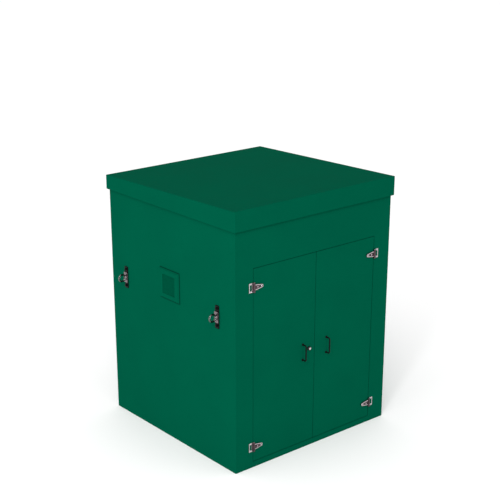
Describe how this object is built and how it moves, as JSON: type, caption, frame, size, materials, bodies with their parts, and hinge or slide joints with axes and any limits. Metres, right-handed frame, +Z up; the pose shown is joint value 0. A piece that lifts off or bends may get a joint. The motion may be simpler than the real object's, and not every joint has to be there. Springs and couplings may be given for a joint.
{
  "type": "backflow preventer station",
  "caption": "Moulded lockable cabinet with double doors, sloping roof and lifting eyes around a reduced pressure zone valve with stop valves, test cocks and tundish.",
  "frame": {"origin": "middle of the base, on the ground", "axes": "+Z up, -Y out of the doors, +X to the right seen from the doors"},
  "size_m": [1.3278, 1.248, 1.5649],
  "materials": {
    "green_moulding": "smooth dark green gelcoat, satin",
    "floor_board": "grey moulded laminate board",
    "bright_steel": "polished stainless steel",
    "black_coated_steel": "black powder coat",
    "galvanised_steel": "zinc plated",
    "seal_rubber": "black foam rubber",
    "bronze": "sand cast bronze",
    "brass": "machined brass",
    "copper": "drawn copper tube",
    "red_lever": "red dipped steel",
    "spring_steel": "bright spring wire",
    "valve_plastic": "black moulded acetal",
    "drain_plastic": "grey moulded drain plastic"
  },
  "bodies": {
    "cabinet": {"cabinet_shell": "green_moulding", "roof_cap": "green_moulding", "left_vent": "green_moulding", "floor_panel": "floor_board", "door_seal": "seal_rubber", "upper_left_hinge_leaf": "bright_steel", "upper_left_hinge_pin": "bright_steel", "lower_left_hinge_leaf": "bright_steel", "lower_left_hinge_pin": "bright_steel", "front_left_lifting_strap": "black_coated_steel", "front_left_lifting_eye": "bright_steel", "rear_left_lifting_strap": "black_coated_steel", "rear_left_lifting_eye": "bright_steel", "upper_right_hinge_leaf": "bright_steel", "upper_right_hinge_pin": "bright_steel", "lower_right_hinge_leaf": "bright_steel", "lower_right_hinge_pin": "bright_steel", "front_right_lifting_strap": "black_coated_steel", "front_right_lifting_eye": "bright_steel", "rear_right_lifting_strap": "black_coated_steel", "rear_right_lifting_eye": "bright_steel", "inlet_riser": "copper", "outlet_riser": "copper", "inlet_valve_body": "brass", "outlet_valve_body": "brass", "zone_valve_body": "bronze", "check_cover": "bronze", "relief_valve_body": "bronze", "first_check_spring": "spring_steel", "second_check_spring": "spring_steel", "relief_valve_spring": "spring_steel", "tundish": "drain_plastic", "supply_test_cock": "brass", "inlet_test_cock": "brass", "zone_test_cock": "brass", "outlet_test_cock": "brass"},
    "left_door": {"left_door": "green_moulding", "upper_left_hinge_strap": "bright_steel", "lower_left_hinge_strap": "bright_steel", "left_pull_handle": "black_coated_steel", "lock_barrel": "bright_steel"},
    "right_door": {"right_door": "green_moulding", "upper_right_hinge_strap": "bright_steel", "lower_right_hinge_strap": "bright_steel", "right_pull_handle": "black_coated_steel"},
    "lock_cylinder": {"lock_plug": "brass", "lock_cam": "galvanised_steel"},
    "top_bolt": {"top_bolt": "bright_steel"},
    "bottom_bolt": {"bottom_bolt": "bright_steel"},
    "inlet_valve_handle": {"inlet_valve_ball": "bright_steel", "inlet_valve_lever": "red_lever"},
    "outlet_valve_handle": {"outlet_valve_ball": "bright_steel", "outlet_valve_lever": "red_lever"},
    "first_check": {"first_check_poppet": "valve_plastic"},
    "second_check": {"second_check_poppet": "valve_plastic"},
    "relief_disc": {"relief_valve_disc": "bright_steel"},
    "supply_cock_stem": {"supply_test_cock_stem": "brass"},
    "inlet_cock_stem": {"inlet_test_cock_stem": "brass"},
    "zone_cock_stem": {"zone_test_cock_stem": "brass"},
    "outlet_cock_stem": {"outlet_test_cock_stem": "brass"}
  },
  "joints": [
    {"name": "left_door_swing", "type": "hinge", "parent": "cabinet", "child": "left_door", "pos_m": [-0.4715, -0.6076, 0.6], "axis": [0, 0, -1], "range_deg": [0, 170]},
    {"name": "right_door_swing", "type": "hinge", "parent": "cabinet", "child": "right_door", "pos_m": [0.4715, -0.6076, 0.6], "axis": [0, 0, 1], "range_deg": [0, 170]},
    {"name": "lock_turn", "type": "hinge", "parent": "left_door", "child": "lock_cylinder", "pos_m": [-0.046, -0.6123, 0.636], "axis": [0, -1, 0], "range_deg": [0, 90]},
    {"name": "top_bolt_slide", "type": "slide", "parent": "right_door", "child": "top_bolt", "axis": [0, 0, 1], "range_m": [0, 0.022]},
    {"name": "bottom_bolt_slide", "type": "slide", "parent": "right_door", "child": "bottom_bolt", "axis": [0, 0, -1], "range_m": [0, 0.022]},
    {"name": "inlet_lever_turn", "type": "hinge", "parent": "cabinet", "child": "inlet_valve_handle", "pos_m": [-0.2243, 0.08, 0.65], "axis": [0, 0, 1], "range_deg": [0, 90]},
    {"name": "outlet_lever_turn", "type": "hinge", "parent": "cabinet", "child": "outlet_valve_handle", "pos_m": [0.2243, 0.08, 0.65], "axis": [0, 0, -1], "range_deg": [0, 90]},
    {"name": "first_check_lift", "type": "slide", "parent": "cabinet", "child": "first_check", "axis": [0, 0, 1], "range_m": [0, 0.01], "stiffness_N_per_m": 400, "springref_m": -0.01, "deforming": ["first_check_spring"]},
    {"name": "second_check_lift", "type": "slide", "parent": "cabinet", "child": "second_check", "axis": [0, 0, 1], "range_m": [0, 0.01], "stiffness_N_per_m": 300, "springref_m": -0.01, "deforming": ["second_check_spring"]},
    {"name": "relief_open", "type": "slide", "parent": "cabinet", "child": "relief_disc", "axis": [0, 0, -1], "range_m": [0, 0.008], "stiffness_N_per_m": 600, "springref_m": -0.008, "deforming": ["relief_valve_spring"]},
    {"name": "supply_cock_turn", "type": "hinge", "parent": "cabinet", "child": "supply_cock_stem", "pos_m": [-0.2713, 0.0127, 0.65], "axis": [0, 0, 1], "range_deg": [0, 90]},
    {"name": "inlet_cock_turn", "type": "hinge", "parent": "cabinet", "child": "inlet_cock_stem", "pos_m": [-0.131, 0.0127, 0.65], "axis": [0, 0, 1], "range_deg": [0, 90]},
    {"name": "zone_cock_turn", "type": "hinge", "parent": "cabinet", "child": "zone_cock_stem", "pos_m": [0, 0.0037, 0.642], "axis": [0, 0, 1], "range_deg": [0, 90]},
    {"name": "outlet_cock_turn", "type": "hinge", "parent": "cabinet", "child": "outlet_cock_stem", "pos_m": [0.126, 0.0127, 0.65], "axis": [0, 0, 1], "range_deg": [0, 90]}
  ]
}
